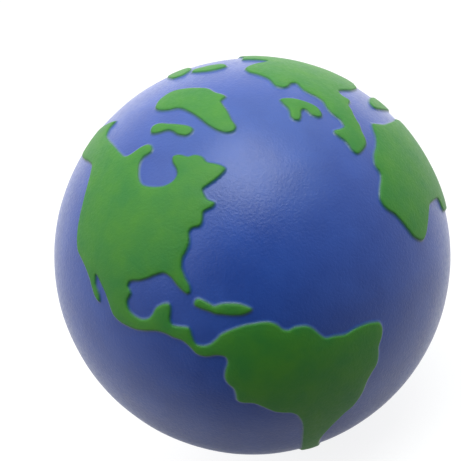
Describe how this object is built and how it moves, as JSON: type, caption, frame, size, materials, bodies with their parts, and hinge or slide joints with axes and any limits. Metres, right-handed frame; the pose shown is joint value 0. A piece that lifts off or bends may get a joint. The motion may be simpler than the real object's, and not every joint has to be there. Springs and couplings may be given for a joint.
{
  "type": "stress ball",
  "caption": "Soft foam stress ball moulded as a world globe, with raised painted land standing a little above a smooth blue sea.",
  "frame": {"origin": "centre of the ball", "axes": "+Z to the globe's north pole, +X to longitude 0 on the equator, +Y to longitude 90 east on the equator"},
  "size_m": [0.0702, 0.0702, 0.0708],
  "materials": {
    "foam": "open-cell flexible foam",
    "sea_skin": "satin, fine orange peel",
    "land_paint": "satin flexible paint"
  },
  "bodies": {
    "root": {"foam_core": "foam", "moulded_skin": "sea_skin", "americas": "land_paint", "greenland": "land_paint", "baffin_island": "land_paint", "greater_antilles": "land_paint", "british_isles": "land_paint", "novaya_zemlya": "land_paint", "severnaya_zemlya": "land_paint", "eurasia": "land_paint", "africa": "land_paint", "madagascar": "land_paint", "sri_lanka": "land_paint", "sumatra": "land_paint", "java": "land_paint", "borneo": "land_paint", "sulawesi": "land_paint", "philippines": "land_paint", "japan": "land_paint", "new_guinea": "land_paint", "australia": "land_paint", "tasmania": "land_paint", "new_zealand_north": "land_paint", "new_zealand_south": "land_paint", "antarctica": "land_paint"}
  },
  "joints": []
}
